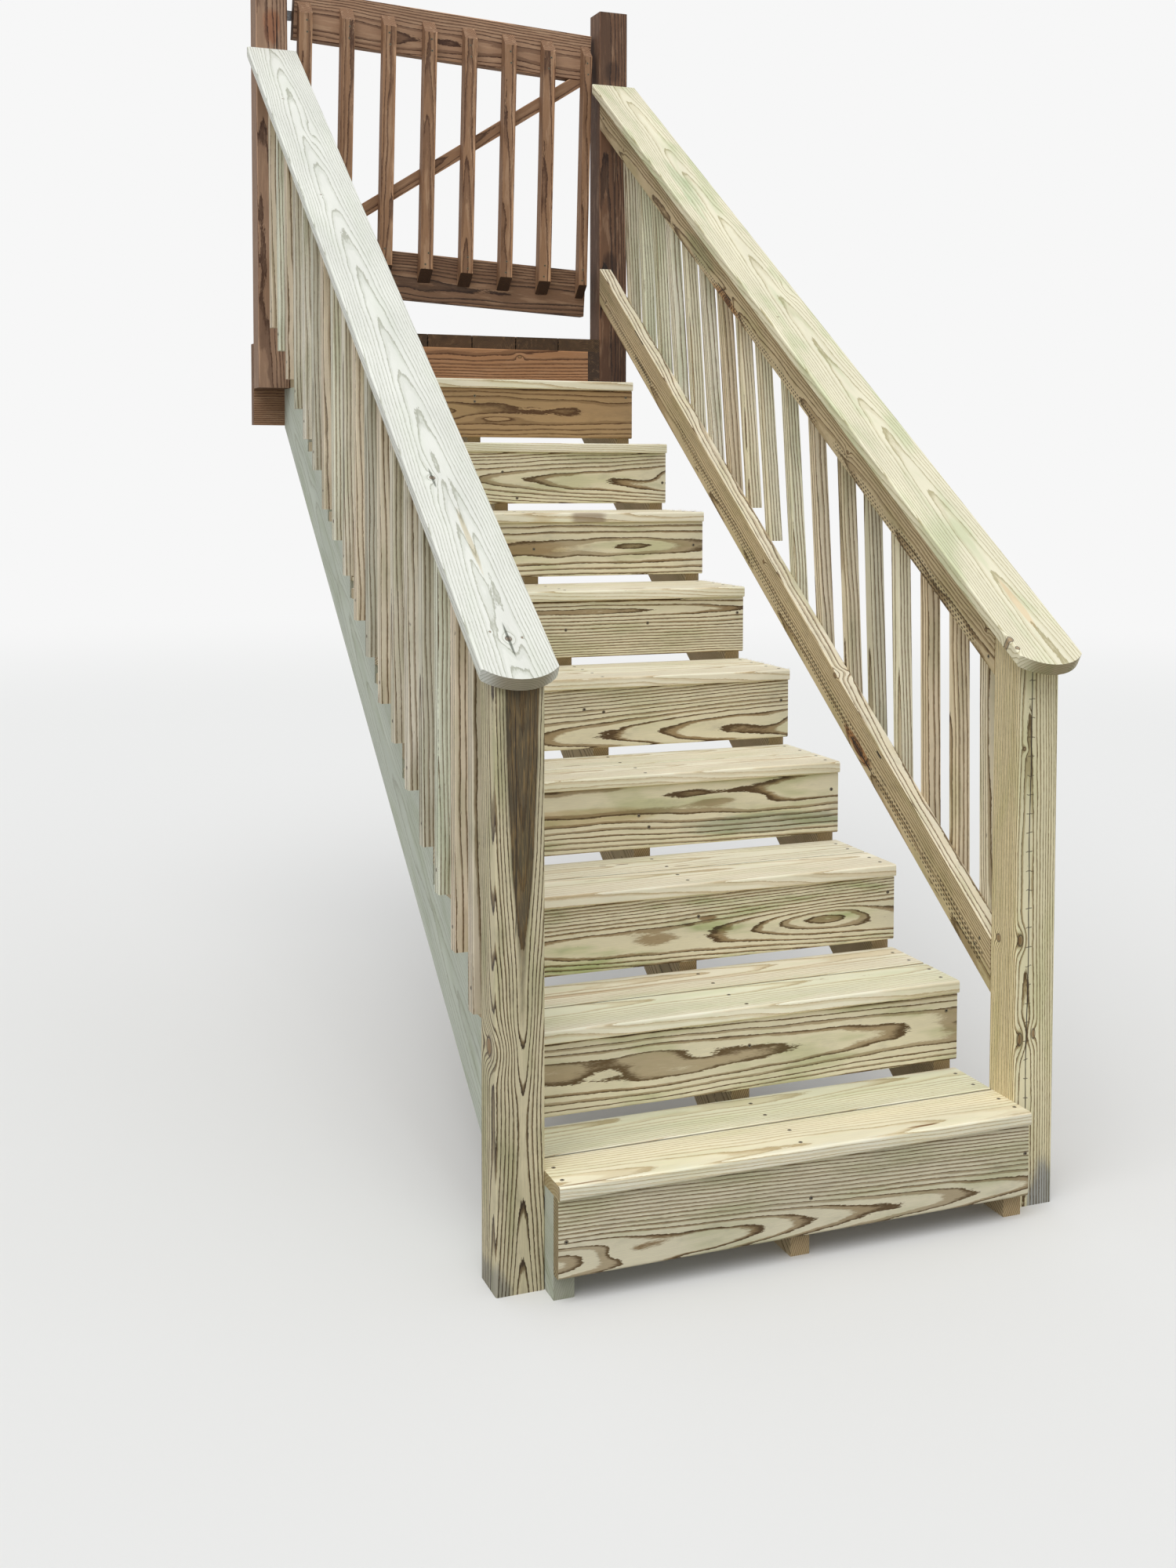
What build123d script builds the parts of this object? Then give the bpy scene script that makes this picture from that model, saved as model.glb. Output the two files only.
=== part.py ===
from build123d import *
from math import atan2, cos, radians, sin, sqrt, tan
import os

# Wooden deck stairs: nine treads on three notched planks, two railings, and a gate at the head.
# X runs along the treads, Y up the flight towards the deck, Z up.
# The origin is the middle of the back face of the deck's rim board.

# The flight
tread_count = 9
flight_width = 947.0
rise = 184.0
first_rise = 211.0
run = 262.5
nosing = 9.0

# Boards of the flight
board_thickness = 25.4
board_width = 139.7
board_gap = 3.0
board_edge_radius = 5.0
plank_thickness = 38.0
plank_width = 286.0

# Posts
post_size = 89.0
post_edge_radius = 4.0
left_newel_setback = 80.0
right_newel_setback = 62.0
head_post_height = 1163.0

# Handrails: heights over the foremost nose and at the head posts, as measured on each side
left_cap_height_at_foot = 834.0
left_cap_height_at_head = 2405.0
right_cap_height_at_foot = 858.5
right_cap_height_at_head = 2389.0
cap_thickness = 25.4
cap_overhang = 25.4
cap_edge_radius = 4.0
cap_end_bulge = 33.0
left_cap_reach = 32.0
right_cap_reach = 67.0
rail_thickness = 38.0
rail_depth = 89.0
rail_edge_radius = 3.0
left_rail_setout = 15.5
right_rail_setout = 0.0
bottom_rail_height_at_foot = 194.5
bottom_rail_height_at_head = 1830.5

# Balusters, counted from 0 at the newel. The right-hand ones were set by eye: their spacing changes
# and their tops lean uphill, and two of them were cut too short.
baluster_size = 32.0
baluster_edge_chamfer = 2.0
left_baluster_first_gap = 60.0
left_baluster_pitches = [(17, 115.4)]
left_baluster_leans = [(0, 0.0), (17, 0.0)]
left_baluster_foot_rise = 1.1
right_baluster_first_gap = 72.0
right_baluster_pitches = [(5, 118.0), (3, 141.3), (8, 121.9)]
right_baluster_leans = [(0, 1.2), (2, 1.5), (8, 8.6), (13, 8.7), (16, 5.7)]
right_baluster_foot_rise = 0.0
right_short_balusters = (8, 9)
short_baluster_lap = 8.0

# Head of the flight
head_gap = 3.0
fascia_thickness = 38.0
fascia_height = 130.0
rim_thickness = 38.0
rim_height = 235.0
deck_board_thickness = 38.0
deck_board_count = 7
deck_board_gap = 4.0

# Gate, which has sagged towards its free side
gate_hinge_side_gap = 7.0
gate_free_side_gap = 9.0
gate_rail_slope = 3.1
gate_lean = 1.4
gate_rail_thickness = 38.0
gate_rail_height = 139.7
gate_rail_spacing = 718.0
gate_clearance = 122.0
gate_baluster_count = 8
gate_baluster_size = 38.0
gate_last_baluster_width = 26.0
gate_first_baluster_margin = 11.0
gate_last_baluster_margin = 4.5
gate_baluster_top_drop = 35.0
gate_baluster_bottom_rise = 54.0
gate_brace_size = 38.0
gate_brace_foot_margin = 59.0
gate_brace_head_margin = 33.0

# Gate hinges
hinge_height = 90.0
hinge_plate_width = 34.0
hinge_leaf_thickness = 2.5
hinge_strap_length = 150.0
hinge_strap_root = 30.0
hinge_strap_tip = 18.0
hinge_pin_radius = 4.0
hinge_pin_clearance = 0.25
hinge_knuckle_radius = 7.0
hinge_knuckle_gap = 0.5
hinge_setout = 1.0

half_width = flight_width / 2
tread_depth = 2 * board_width + board_gap
rim_face_y = -rim_thickness
post_front_y = rim_face_y - post_size
top_nose_y = post_front_y - head_gap - tread_depth
rim_top_z = rim_height / 2
top_tread_z = rim_top_z - fascia_height + board_thickness
deck_z = rim_top_z + deck_board_thickness
ground_z = top_tread_z - (tread_count - 1) * rise - first_rise

os.makedirs("parts", exist_ok=True)


def nose_y(step):
    """Front of a tread, counted from 1 at the foot."""
    return top_nose_y - (tread_count - step) * run


def tread_z(step):
    """Walking surface of a tread."""
    return top_tread_z - (tread_count - step) * rise


def save(part, name):
    """Label a finished piece and write it."""
    part.label = name
    export_step(part, f"parts/{name}.step")


def sloping_line(height_at_foot, height_at_head):
    """Height over the flight of a line given over the foremost nose and at the head posts."""
    slope = (height_at_head - height_at_foot) / (post_front_y - nose_y(1))
    return lambda y: tread_z(1) + height_at_foot + slope * (y - nose_y(1))


def uphill(line):
    """Direction of a sloping line."""
    return Vector(0, 1, line(1) - line(0)).normalized()


# Stringers: planks notched for every tread and riser
cut_y = [nose_y(step) + nosing + board_thickness for step in range(1, tread_count + 1)]
seat_z = [tread_z(step) - board_thickness for step in range(1, tread_count + 1)]
slope = rise / run
plank_drop = plank_width * sqrt(1 + slope**2)


def underside_z(y):
    """Lower edge of the plank, parallel to the line through the notch corners."""
    return seat_z[0] + slope * (y - cut_y[0]) - plank_drop


foot_back_y = cut_y[0] + (ground_z - underside_z(cut_y[0])) / slope
notches = []
for y, z in zip(cut_y, seat_z):
    if notches:
        notches.append((y, notches[-1][1]))
    notches.append((y, z))
stringer_outline = (
    [(cut_y[0], ground_z)]
    + notches
    + [(rim_face_y, seat_z[-1]), (rim_face_y, underside_z(rim_face_y)), (foot_back_y, ground_z)]
)
stringer_middles = {
    "left_stringer": -half_width + plank_thickness / 2,
    "centre_stringer": 0.0,
    "right_stringer": half_width - plank_thickness / 2,
}
for name, middle_x in stringer_middles.items():
    with BuildPart() as stringer:
        with BuildSketch(Plane.YZ.offset(middle_x)):
            with BuildLine():
                Polyline(*stringer_outline, close=True)
            make_face()
        extrude(amount=plank_thickness / 2, both=True)
    save(stringer.part, name)

# Treads: two boards side by side, with their long edges eased
for step in range(1, tread_count + 1):
    with BuildPart() as tread:
        for board in range(2):
            front_y = nose_y(step) + board * (board_width + board_gap)
            with BuildSketch(Plane.YZ.offset(-half_width)):
                with Locations((front_y + board_width / 2, tread_z(step) - board_thickness / 2)):
                    RectangleRounded(board_width, board_thickness, board_edge_radius)
            extrude(amount=flight_width)
    save(tread.part, f"tread_{step}")

# Risers: one board each, tight under the tread's front
for step in range(1, tread_count + 1):
    middle_y = nose_y(step) + nosing + board_thickness / 2
    middle_z = tread_z(step) - board_thickness - board_width / 2
    with BuildPart() as riser:
        with BuildSketch(Plane.YZ.offset(-half_width)):
            with Locations((middle_y, middle_z)):
                RectangleRounded(board_thickness, board_width, board_edge_radius)
        extrude(amount=flight_width)
    save(riser.part, f"riser_{step}")

# Railings: the same pieces on both sides, at the heights measured on each
bottom_line = sloping_line(bottom_rail_height_at_foot, bottom_rail_height_at_head)
sides = {
    "left": (-1, left_newel_setback, left_rail_setout,
             left_cap_height_at_foot, left_cap_height_at_head, left_cap_reach),
    "right": (1, right_newel_setback, right_rail_setout,
              right_cap_height_at_foot, right_cap_height_at_head, right_cap_reach),
}
baluster_sets = {
    "left": (left_baluster_first_gap, left_baluster_pitches, left_baluster_leans,
             left_baluster_foot_rise, ()),
    "right": (right_baluster_first_gap, right_baluster_pitches, right_baluster_leans,
              right_baluster_foot_rise, right_short_balusters),
}


def side_profile(x, width, points):
    """Prism of the given width about x, from a profile seen from the side."""
    with BuildPart() as prism:
        with BuildSketch(Plane.YZ.offset(x)):
            with BuildLine():
                Polyline(*points, close=True)
            make_face()
        extrude(amount=width / 2, both=True)
    return prism.part


def sloping_rail(x, top_line, newel_back_y):
    """Board on edge between newel and head post, with plumb ends and eased long edges."""
    drop = rail_depth / uphill(top_line).Y
    corners = [
        (newel_back_y, top_line(newel_back_y)),
        (post_front_y, top_line(post_front_y)),
        (post_front_y, top_line(post_front_y) - drop),
        (newel_back_y, top_line(newel_back_y) - drop),
    ]
    with BuildPart() as rail:
        add(side_profile(x, rail_thickness, corners))
        fillet(rail.edges().filter_by(Axis((0, 0, 0), uphill(top_line))), rail_edge_radius)
    return rail.part


def lean_of(number, measured):
    """Lean of one baluster in degrees, worked out between the ones that were measured."""
    for (before, lean_before), (after, lean_after) in zip(measured, measured[1:]):
        if number <= after:
            break
    return lean_before + (lean_after - lean_before) * (number - before) / (after - before)


def baluster(x, front_y, lean, lap, top_line):
    """Square stick with eased edges. Its front crosses the bottom rail's upper edge at front_y."""
    lean = radians(lean)
    rail_z = bottom_line(front_y)
    foot_z = rail_z - lap
    steepness = top_line(1) - top_line(0)
    foot, head = [], []
    for edge_y in (front_y, front_y + baluster_size / cos(lean)):
        start_y = edge_y - rail_z * tan(lean)
        head_z = top_line(start_y) / (1 - steepness * tan(lean))
        foot.append((start_y + foot_z * tan(lean), foot_z))
        head.append((start_y + head_z * tan(lean), head_z))
    with BuildPart() as stick:
        add(side_profile(x, baluster_size, foot + head[::-1]))
        chamfer(stick.edges().filter_by(Axis((0, 0, 0), (0, sin(lean), cos(lean)))), baluster_edge_chamfer)
    return stick.part


for side, (sign, setback, setout, cap_low, cap_high, cap_reach) in sides.items():
    post_x = sign * (half_width + post_size / 2)
    rail_x = sign * (half_width + setout + rail_thickness / 2)
    baluster_x = sign * (half_width + setout + rail_thickness + baluster_size / 2)
    newel_front_y = nose_y(1) + setback
    newel_back_y = newel_front_y + post_size
    cap_line = sloping_line(cap_low, cap_high)
    cap_rise = uphill(cap_line)
    cap_drop = cap_thickness / cap_rise.Y

    def under_cap(y):
        """Height of the cap's lower face, which the rail, posts and balusters meet."""
        return cap_line(y) - cap_drop

    # Newel post, cut to the slope of the cap
    newel_profile = [
        (newel_front_y, ground_z),
        (newel_back_y, ground_z),
        (newel_back_y, under_cap(newel_back_y)),
        (newel_front_y, under_cap(newel_front_y)),
    ]
    with BuildPart() as newel:
        add(side_profile(post_x, post_size, newel_profile))
        fillet(newel.edges().filter_by(Axis.Z), post_edge_radius)
    save(newel.part, f"{side}_newel_post")

    # Cap: a flat board with eased edges, cut plumb at the head post and bowed at the foot
    cap_top_plane = Plane(
        origin=(post_x, post_front_y, cap_line(post_front_y)),
        x_dir=(1, 0, 0),
        z_dir=(0, -cap_rise.Z, cap_rise.Y),
    )
    cap_width = post_size + 2 * cap_overhang
    cap_length = (post_front_y - newel_front_y + cap_reach) / cap_rise.Y
    plumb_room = cap_thickness * cap_rise.Z / cap_rise.Y
    bow_start = -(cap_length - cap_end_bulge)
    with BuildPart() as cap:
        with BuildSketch(cap_top_plane):
            with BuildLine():
                Polyline((-cap_width / 2, bow_start), (-cap_width / 2, plumb_room),
                         (cap_width / 2, plumb_room), (cap_width / 2, bow_start))
                ThreePointArc((cap_width / 2, bow_start), (0, -cap_length), (-cap_width / 2, bow_start))
            make_face()
        extrude(amount=-cap_thickness)
        split(bisect_by=Plane(origin=(0, post_front_y, 0), z_dir=(0, -1, 0)), keep=Keep.TOP)
        fillet(cap.edges().filter_by(Axis((0, 0, 0), cap_rise)), cap_edge_radius)
    save(cap.part, f"{side}_handrail_cap")

    # Rails on edge: one tight under the cap, one above the treads
    save(sloping_rail(rail_x, under_cap, newel_back_y), f"{side}_top_rail")
    save(sloping_rail(rail_x, bottom_line, newel_back_y), f"{side}_bottom_rail")

    # Balusters on the outer face of both rails, with sloping tops under the cap
    bottom_rail_drop = rail_depth / uphill(bottom_line).Y
    first_gap, pitches, leans, foot_rise, short_ones = baluster_sets[side]
    front_ys = [newel_back_y + first_gap]
    for count, pitch in pitches:
        front_ys += [front_ys[-1] + pitch * (place + 1) for place in range(count)]
    sticks = []
    for number, front_y in enumerate(front_ys):
        lap = short_baluster_lap if number in short_ones else bottom_rail_drop - number * foot_rise
        sticks.append(baluster(baluster_x, front_y, lean_of(number, leans), lap, under_cap))
    with BuildPart() as balusters:
        add(sticks)
    save(balusters.part, f"{side}_balusters")

# Head posts: bolted to the rim, cut off at the level of the stringers' top seat
head_post_bottom_z = seat_z[-1]
for side, sign in (("left", -1), ("right", 1)):
    with BuildPart() as head_post:
        middle = (sign * (half_width + post_size / 2), (post_front_y + rim_face_y) / 2)
        with BuildSketch(Plane.XY.offset(head_post_bottom_z)):
            with Locations(middle):
                RectangleRounded(post_size, post_size, post_edge_radius)
        extrude(amount=head_post_height)
    save(head_post.part, f"{side}_head_post")

# Rim of the deck, behind the posts and the stringers' plumb ends
rim_length = flight_width + 2 * post_size
with BuildPart() as rim:
    with BuildSketch(Plane.XZ):
        Rectangle(rim_length, rim_height)
    extrude(amount=rim_thickness)
save(rim.part, "deck_rim")

# Fascia between two blocks, level with the fronts of the posts
fascia_length = flight_width - 2 * plank_thickness
fascia_middle_z = seat_z[-1] + fascia_height / 2
with BuildPart() as fascia:
    with BuildSketch(Plane.XZ.offset(-post_front_y)):
        with Locations((0, fascia_middle_z)):
            Rectangle(fascia_length, fascia_height)
    extrude(amount=-fascia_thickness)
save(fascia.part, "head_fascia")

for side, sign in (("left", -1), ("right", 1)):
    with BuildPart() as block:
        with BuildSketch(Plane.XZ.offset(-rim_face_y)):
            with Locations((sign * (half_width - plank_thickness / 2), fascia_middle_z)):
                Rectangle(plank_thickness, fascia_height)
        extrude(amount=post_size)
    save(block.part, f"{side}_head_block")

# Deck board ends on top of the fascia, blocks and rim
deck_board_width = (flight_width - (deck_board_count - 1) * deck_board_gap) / deck_board_count
with BuildPart() as deck_ends:
    with BuildSketch(Plane.XY.offset(rim_top_z)):
        with Locations((0, post_front_y / 2)):
            with GridLocations(deck_board_width + deck_board_gap, 0, deck_board_count, 1):
                Rectangle(deck_board_width, -post_front_y)
    extrude(amount=deck_board_thickness)
save(deck_ends.part, "deck_board_ends")

# Gate: the rails slope down to the free side, and the balusters lean the same way by less
slope_angle = radians(gate_rail_slope)
lean_angle = radians(gate_lean)
along = Vector(cos(slope_angle), 0, -sin(slope_angle))
upright = Vector(sin(lean_angle), 0, cos(lean_angle))
gate_rail_front_y = rim_face_y - gate_rail_thickness
gate_corner = Vector(-half_width + gate_hinge_side_gap, gate_rail_front_y, deck_z + gate_clearance)
gate_plane = Plane(origin=gate_corner, x_dir=along, z_dir=(0, -1, 0))
gate_room = flight_width - gate_hinge_side_gap - gate_free_side_gap
gate_lean_room = gate_rail_spacing * upright.X + gate_rail_height * sin(slope_angle)
gate_length = (gate_room - gate_lean_room) / along.X
upper_corner = gate_plane.to_local_coords(gate_corner + upright * gate_rail_spacing)

gate_rails = {"gate_bottom_rail": Vector(0, 0), "gate_top_rail": upper_corner}
for name, corner in gate_rails.items():
    with BuildPart() as gate_rail:
        with BuildSketch(gate_plane):
            with Locations((corner.X + gate_length / 2, corner.Y + gate_rail_height / 2)):
                Rectangle(gate_length, gate_rail_height)
        extrude(amount=-gate_rail_thickness)
        fillet(gate_rail.edges().filter_by(Axis((0, 0, 0), along)), rail_edge_radius)
    save(gate_rail.part, name)

# Gate balusters, screwed to the near side of the rails, with both ends cut back at 45 degrees.
# The last one was ripped narrower to fit.
gate_baluster_widths = [gate_baluster_size] * (gate_baluster_count - 1) + [gate_last_baluster_width]
first_middle = gate_first_baluster_margin + gate_baluster_size / 2
last_middle = gate_length - gate_last_baluster_margin - gate_last_baluster_width / 2
gate_baluster_pitch = (last_middle - first_middle) / (gate_baluster_count - 1)
gate_baluster_top = gate_rail_spacing + gate_rail_height - gate_baluster_top_drop
with BuildPart() as gate_balusters:
    for number, width in enumerate(gate_baluster_widths):
        foot = gate_corner + along * (first_middle + number * gate_baluster_pitch)
        side_plane = Plane(origin=foot, x_dir=(0, -1, 0), z_dir=(-upright.Z, 0, upright.X))
        with BuildSketch(side_plane):
            with BuildLine():
                Polyline(
                    (0, gate_baluster_bottom_rise),
                    (gate_baluster_size, gate_baluster_bottom_rise + gate_baluster_size),
                    (gate_baluster_size, gate_baluster_top - gate_baluster_size),
                    (0, gate_baluster_top),
                    close=True,
                )
            make_face()
        extrude(amount=width / 2, both=True)
    chamfer(gate_balusters.edges().filter_by(Axis((0, 0, 0), upright)), baluster_edge_chamfer)
save(gate_balusters.part, "gate_balusters")

# Brace in the plane of the rails, from the hinge side up to the free side
brace_foot = Vector(gate_brace_foot_margin, gate_rail_height)
brace_head = Vector(upper_corner.X + gate_length - gate_brace_head_margin, upper_corner.Y)
brace_angle = atan2(brace_head.Y - brace_foot.Y, brace_head.X - brace_foot.X)
half_cut = gate_brace_size / 2 / sin(brace_angle)
with BuildPart() as brace:
    with BuildSketch(gate_plane):
        with BuildLine():
            Polyline(
                (brace_foot.X - half_cut, brace_foot.Y),
                (brace_foot.X + half_cut, brace_foot.Y),
                (brace_head.X + half_cut, brace_head.Y),
                (brace_head.X - half_cut, brace_head.Y),
                close=True,
            )
        make_face()
    extrude(amount=-gate_brace_size)
save(brace.part, "gate_brace")

# Hinges on the deck side: a plate on the head post and a tapering strap on each rail of the gate
hinge_x = -half_width + hinge_knuckle_radius + hinge_knuckle_gap
hinge_y = rim_face_y + hinge_setout + hinge_knuckle_radius
hinge_low_z = gate_corner.Z + gate_rail_height / 2
hinge_middles = [hinge_low_z, hinge_low_z + upright.Z * gate_rail_spacing]
fixed_knuckle = (hinge_height - hinge_strap_root) / 2 - hinge_knuckle_gap
plate_inner_x = hinge_x - hinge_knuckle_radius - hinge_knuckle_gap
plate_outer_x = plate_inner_x - hinge_plate_width
leaf_plane = Plane.XZ.offset(-rim_face_y)

with BuildPart() as post_hinges:
    for middle_z in hinge_middles:
        low_z = middle_z - hinge_height / 2
        high_z = middle_z + hinge_height / 2
        with BuildSketch(leaf_plane):
            with BuildLine():
                Polyline(
                    (plate_outer_x, low_z),
                    (hinge_x, low_z),
                    (hinge_x, low_z + fixed_knuckle),
                    (plate_inner_x, low_z + fixed_knuckle),
                    (plate_inner_x, high_z - fixed_knuckle),
                    (hinge_x, high_z - fixed_knuckle),
                    (hinge_x, high_z),
                    (plate_outer_x, high_z),
                    close=True,
                )
            make_face()
        extrude(amount=-hinge_leaf_thickness)
        for knuckle_z in (low_z, high_z - fixed_knuckle):
            with BuildSketch(Plane.XY.offset(knuckle_z)):
                with Locations((hinge_x, hinge_y)):
                    Circle(hinge_knuckle_radius)
            extrude(amount=fixed_knuckle)
        with BuildSketch(Plane.XY.offset(low_z)):
            with Locations((hinge_x, hinge_y)):
                Circle(hinge_pin_radius)
        extrude(amount=hinge_height)
save(post_hinges.part, "post_hinge_plates")

with BuildPart() as gate_hinges:
    for middle_z in hinge_middles:
        root = hinge_strap_root / 2
        tip = hinge_strap_tip / 2
        with BuildSketch(leaf_plane):
            with BuildLine():
                Polyline(
                    (hinge_x, middle_z - root),
                    (hinge_x + hinge_strap_length, middle_z - tip),
                    (hinge_x + hinge_strap_length, middle_z + tip),
                    (hinge_x, middle_z + root),
                    close=True,
                )
            make_face()
        extrude(amount=-hinge_leaf_thickness)
        with BuildSketch(Plane.XY.offset(middle_z - root)):
            with Locations((hinge_x, hinge_y)):
                Circle(hinge_knuckle_radius)
        extrude(amount=hinge_strap_root)
        with BuildSketch(Plane.XY.offset(middle_z - root)):
            with Locations((hinge_x, hinge_y)):
                Circle(hinge_pin_radius + hinge_pin_clearance)
        extrude(amount=hinge_strap_root, mode=Mode.SUBTRACT)
save(gate_hinges.part, "gate_hinge_straps")
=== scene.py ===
# %% [markdown]
# # Wooden deck stairs
#
# A flight of nine treads in new treated pine, two railings, and an old stained
# gate between the posts at its head. The construction model already holds the
# shape of every board, so most of this lesson is about one question: how to
# make a computer's wood look as if it grew. A photograph wrapped round a board
# would show the same picture on every side. A solid pattern, worked out from
# the growth rings of the tree that each board was sawn from, gives arches on
# the flat faces, straight lines on the edges and arcs on the sawn ends, all by
# itself, and it can be different for every board.

import bpy
import numpy as np
from math import cos, radians, sin
from mathutils import Matrix, Vector


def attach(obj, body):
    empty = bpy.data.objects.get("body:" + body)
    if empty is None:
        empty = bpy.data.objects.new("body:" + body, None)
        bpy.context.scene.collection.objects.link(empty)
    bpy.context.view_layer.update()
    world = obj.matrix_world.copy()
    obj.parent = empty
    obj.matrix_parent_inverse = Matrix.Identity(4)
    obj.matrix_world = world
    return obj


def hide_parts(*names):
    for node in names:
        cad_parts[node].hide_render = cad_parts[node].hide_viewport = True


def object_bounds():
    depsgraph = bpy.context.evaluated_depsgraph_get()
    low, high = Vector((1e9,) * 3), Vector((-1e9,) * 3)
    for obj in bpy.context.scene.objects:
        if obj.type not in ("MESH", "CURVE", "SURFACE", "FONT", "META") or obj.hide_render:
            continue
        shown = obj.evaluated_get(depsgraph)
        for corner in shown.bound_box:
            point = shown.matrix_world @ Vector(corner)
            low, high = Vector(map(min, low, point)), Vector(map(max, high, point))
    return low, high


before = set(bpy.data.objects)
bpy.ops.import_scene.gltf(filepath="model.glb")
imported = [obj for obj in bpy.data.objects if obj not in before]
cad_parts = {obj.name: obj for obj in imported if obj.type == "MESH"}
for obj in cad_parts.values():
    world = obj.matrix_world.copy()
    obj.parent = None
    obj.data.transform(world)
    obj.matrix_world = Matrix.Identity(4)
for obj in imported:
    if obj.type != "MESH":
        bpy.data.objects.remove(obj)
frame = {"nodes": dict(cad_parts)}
cad_box = [list(corner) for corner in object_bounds()]
nodes = frame["nodes"]
ground = cad_box[0][2]
print(len(nodes), "nodes between", cad_box)

# %% [markdown]
# The camera stands at the foot of the flight, a little to its left and about
# 1.4 metres above the ground. Its place was worked out from the straight edges
# of the boards. The lens of the original view was pointed slightly off the
# middle of the picture, which the two shift values repeat.


# %% Camera
def placed(name, data):
    """A new object of the scene."""
    made = bpy.data.objects.new(name, data)
    bpy.context.scene.collection.objects.link(made)
    return made


picture_width, picture_height = 1500, 2000
focal_pixels = 2287.3
sight_x, sight_y = 869.96, 721.82
turned_right, tipped_down, rolled = 0.3990, 0.0549, -0.0041
standing_at = (-1.44538, -5.33957, -0.23583)

camera_data = bpy.data.cameras.new("camera")
camera_data.sensor_fit = "AUTO"
camera_data.sensor_width = 36.0
camera_data.lens = focal_pixels * 36.0 / picture_height
camera_data.shift_x = (picture_width / 2 - sight_x) / picture_height
camera_data.shift_y = (sight_y - picture_height / 2) / picture_height
camera = placed("camera", camera_data)
looking = (Matrix.Rotation(-turned_right, 4, "Z") @ Matrix.Rotation(radians(90) - tipped_down, 4, "X")
           @ Matrix.Rotation(-rolled, 4, "Z"))
camera.matrix_world = Matrix.Translation(standing_at) @ looking
bpy.context.scene.camera = camera
print("lens", round(camera_data.lens, 2), "mm, shift", round(camera_data.shift_x, 3), round(camera_data.shift_y, 3))

# %% [markdown]
# Materials are built from nodes. Writing `1 - mask` or `a * b` is easier to
# read than wiring boxes, so one small class wraps a node's output and turns
# arithmetic into nodes. Plain numbers are still worked out by Python: a node is
# only added where a value changes over the surface.


# %% Shader arithmetic
def adds(operation):
    """A method that adds one Math node, for the wire and what stands after the sign."""
    return lambda wire, *others: wire.math(operation, wire, *others)


class Wire:
    """A value that runs through a material. Arithmetic on it adds Math nodes."""

    __add__ = __radd__ = adds("ADD")
    __mul__ = __rmul__ = adds("MULTIPLY")
    __sub__, __truediv__, __pow__ = adds("SUBTRACT"), adds("DIVIDE"), adds("POWER")
    __abs__, floor, fraction, exponent = adds("ABSOLUTE"), adds("FLOOR"), adds("FRACT"), adds("EXPONENT")

    def __init__(self, tree, socket=None):
        self.tree, self.socket = tree, socket

    def node(self, kind, inputs=None, output=0, stops=None, **settings):
        """Any node: its type and settings first, then the values or links of its sockets."""
        made = self.tree.nodes.new(kind)
        for setting, value in settings.items():
            setattr(made, setting, value)
        for place, (position, colour) in enumerate(stops or []):
            ramp = made.color_ramp.elements
            stop = ramp[place] if place < len(ramp) else ramp.new(position)
            stop.position, stop.color = position, colour
        for name, value in (inputs or {}).items():
            if isinstance(value, Wire):
                self.tree.links.new(value.socket, made.inputs[name])
            else:
                made.inputs[name].default_value = value
        return Wire(self.tree, made.outputs[output])

    def math(self, operation, *values):
        return self.node("ShaderNodeMath", dict(enumerate(values)), operation=operation)

    def __rsub__(self, other):
        return self.math("SUBTRACT", other, self)


def along_axis(vector, axis):
    """How far a vector reaches along an axis: the dot product."""
    return vector.node("ShaderNodeVectorMath", {0: vector, 1: axis}, output=1, operation="DOT_PRODUCT")


def triple(x, y, z):
    """Three numbers joined into a vector."""
    wire = next(part for part in (x, y, z) if isinstance(part, Wire))
    return wire.node("ShaderNodeCombineXYZ", {0: x, 1: y, 2: z})


def step(value, low, high):
    """Soft step: 0 below low, 1 above high, and an S-shaped curve between."""
    return value.node("ShaderNodeMapRange", {0: value, 1: low, 2: high}, interpolation_type="SMOOTHSTEP")


def cloud(vector, detail=2.0, rough=0.5):
    """Smooth noise about 0, roughly from -0.5 to 0.5, with lumps one unit across."""
    return vector.node("ShaderNodeTexNoise", {"Vector": vector, "Scale": 1.0, "Detail": detail,
                                              "Roughness": rough}) - 0.5


def blend(under, over, share, how="MIX"):
    """Lays one colour over another where share is 1."""
    wire = next(part for part in (share, under, over) if isinstance(part, Wire))
    return wire.node("ShaderNodeMix", {0: share, 6: under, 7: over}, output=2, data_type="RGBA", blend_type=how)


def paint(red, green, blue):
    """A colour as a screen shows it, 0 to 255, as the linear values that a shader wants."""
    share = np.array([red, green, blue]) / 255
    linear = np.where(share <= 0.04045, share / 12.92, ((share + 0.055) / 1.055) ** 2.4)
    return (*linear.tolist(), 1.0)


def new_material(name):
    """An empty material and the wires of its surface shader."""
    material = bpy.data.materials.new(name)
    material.use_nodes = True
    tree = material.node_tree
    tree.nodes.clear()
    return material, Wire(tree)


def finish_material(wires, colour, roughness, height, depth, **constants):
    """Joins colour, roughness and relief to one Principled surface. depth is in metres."""
    bump = wires.node("ShaderNodeBump", {"Height": height, "Distance": depth, "Strength": 0.7})
    surface = wires.node("ShaderNodeBsdfPrincipled",
                         {"Base Color": colour, "Roughness": roughness, "Normal": bump, **constants})
    output = wires.tree.nodes.new("ShaderNodeOutputMaterial")
    wires.tree.links.new(surface.socket, output.inputs["Surface"])


print("shader helpers ready")

# %% [markdown]
# A board has a direction that its grain runs in, a wide face, and an edge. The
# pattern needs all three, so this step measures them on the model. The longest
# spread of a board's corners is the direction of its grain, which numpy finds
# as the first principal axis. A plain box could be written down by hand, but
# the rails and planks slope, and the gate hangs askew.


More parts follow.
